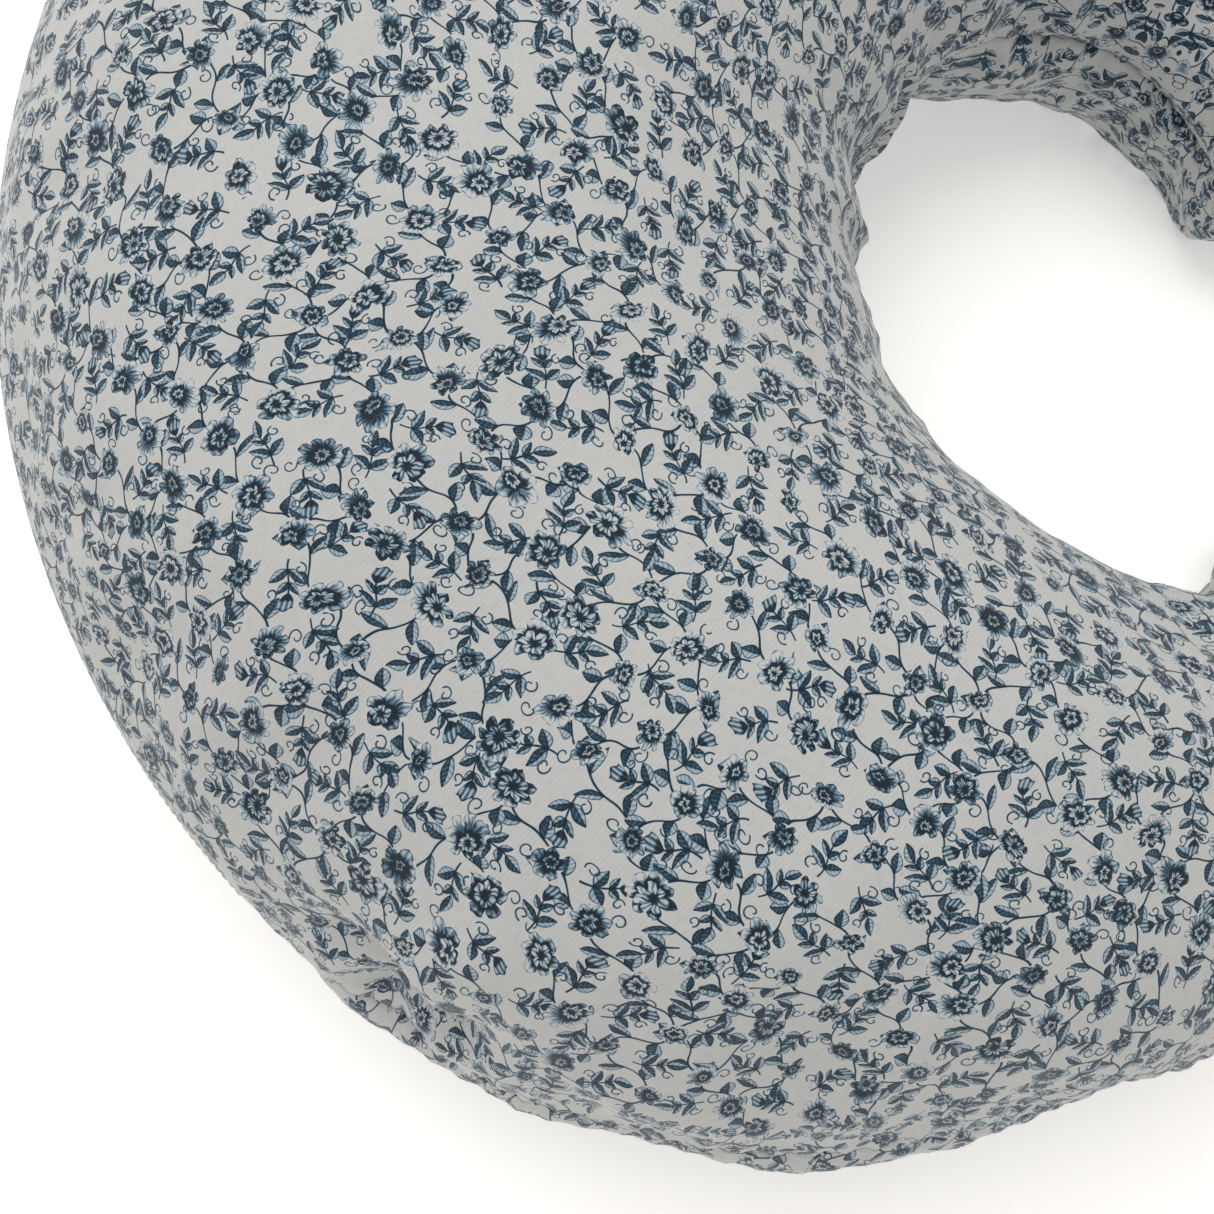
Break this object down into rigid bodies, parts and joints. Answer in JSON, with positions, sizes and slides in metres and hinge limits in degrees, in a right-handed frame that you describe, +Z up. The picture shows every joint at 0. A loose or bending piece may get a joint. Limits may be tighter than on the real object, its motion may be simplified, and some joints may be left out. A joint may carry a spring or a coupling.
{
  "type": "nursing pillow",
  "caption": "Crescent-shaped stuffed nursing pillow with a waist hole, rounded arms and a removable printed cotton cover that zips round the back.",
  "frame": {"origin": "middle of the footprint, on the surface the pillow lies on", "axes": "+Z up; +Y towards the wide back of the crescent, so the opening between the arms faces -Y; X across the arms"},
  "size_m": [0.5324, 0.4979, 0.172],
  "materials": {
    "printed_cotton": "matt fine twill, pale grey-white with a small slate-blue floral print",
    "overlock_thread": "matt spun thread, overlocked edge",
    "sewing_thread": "matt spun sewing thread",
    "zip_tape": "matt woven polyester tape",
    "zip_coil": "semi-matt nylon coil",
    "zip_metal": "satin plated zinc",
    "liner_cotton": "matt plain-weave cotton",
    "label_tape": "matt woven ribbon, blank",
    "polyester_fibre": "loose white fibre"
  },
  "bodies": {
    "pillow": {"cover_top_panel": "printed_cotton", "cover_bottom_panel": "printed_cotton", "cover_seam_overlock": "overlock_thread", "zip_tape_upper": "zip_tape", "zip_tape_lower": "zip_tape", "zip_coil_upper": "zip_coil", "zip_coil_lower": "zip_coil", "zip_top_stop_upper": "zip_metal", "zip_top_stop_lower": "zip_metal", "zip_bottom_stop": "zip_metal", "zip_stitch_upper": "sewing_thread", "zip_stitch_lower": "sewing_thread", "liner_top_panel": "liner_cotton", "liner_bottom_panel": "liner_cotton", "liner_seam_overlock": "overlock_thread", "liner_closing_stitch": "sewing_thread", "liner_care_label": "label_tape", "fibre_fill": "polyester_fibre"},
    "slider": {"zip_slider": "zip_metal"},
    "pull_tab": {"zip_pull_tab": "zip_metal"}
  },
  "joints": [
    {"name": "zip_travel", "type": "hinge", "parent": "pillow", "child": "slider", "pos_m": [0, -0.0394, 0.082], "axis": [0, 0, 1], "range_deg": [0, 80]},
    {"name": "pull_flip", "type": "hinge", "parent": "slider", "child": "pull_tab", "pos_m": [0.18654, 0.18291, 0.082], "axis": [0, 0, -1], "range_deg": [0, 170]}
  ]
}
